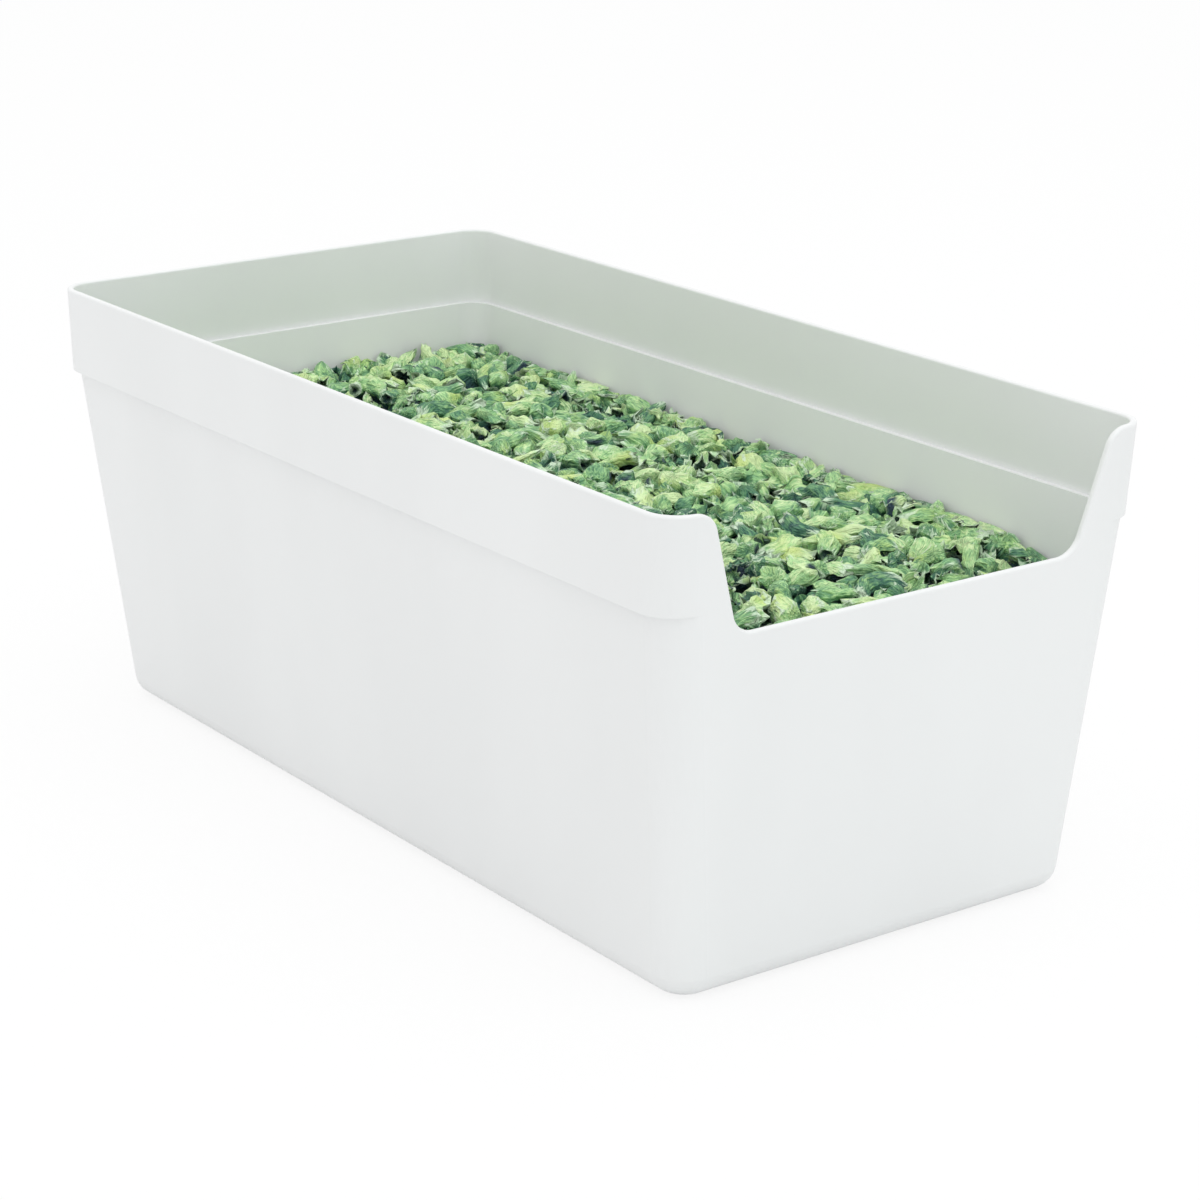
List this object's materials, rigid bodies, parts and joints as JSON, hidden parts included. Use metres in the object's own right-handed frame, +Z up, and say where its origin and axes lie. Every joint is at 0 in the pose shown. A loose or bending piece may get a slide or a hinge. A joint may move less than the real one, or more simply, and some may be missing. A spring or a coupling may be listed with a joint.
{
  "type": "open food storage bin",
  "caption": "Long open kitchen bin with drafted walls, a stepped collar, a rounded rim and a scooped front, holding a load of cut green vegetables.",
  "frame": {"origin": "middle of the base, on the surface that the bin stands on", "axes": "+Z up, +Y along the length from the scooped front wall to the back wall, +X across the width"},
  "size_m": [0.202, 0.4059, 0.169],
  "materials": {
    "white_plastic": "satin",
    "green_vegetable": "satin"
  },
  "bodies": {
    "bin": {"bin_shell": "white_plastic"},
    "contents": {"packed_greens": "green_vegetable", "cut_greens_row_01": "green_vegetable", "cut_greens_row_02": "green_vegetable", "cut_greens_row_03": "green_vegetable", "cut_greens_row_04": "green_vegetable", "cut_greens_row_05": "green_vegetable", "cut_greens_row_06": "green_vegetable", "cut_greens_row_07": "green_vegetable", "cut_greens_row_08": "green_vegetable", "cut_greens_row_09": "green_vegetable", "cut_greens_row_10": "green_vegetable", "cut_greens_row_11": "green_vegetable", "cut_greens_row_12": "green_vegetable", "cut_greens_row_13": "green_vegetable", "cut_greens_row_14": "green_vegetable", "cut_greens_row_15": "green_vegetable", "cut_greens_row_16": "green_vegetable"}
  },
  "joints": [
    {"name": "contents_lift", "type": "slide", "parent": "bin", "child": "contents", "axis": [0, 0, 1], "range_m": [0, 0.18]}
  ]
}
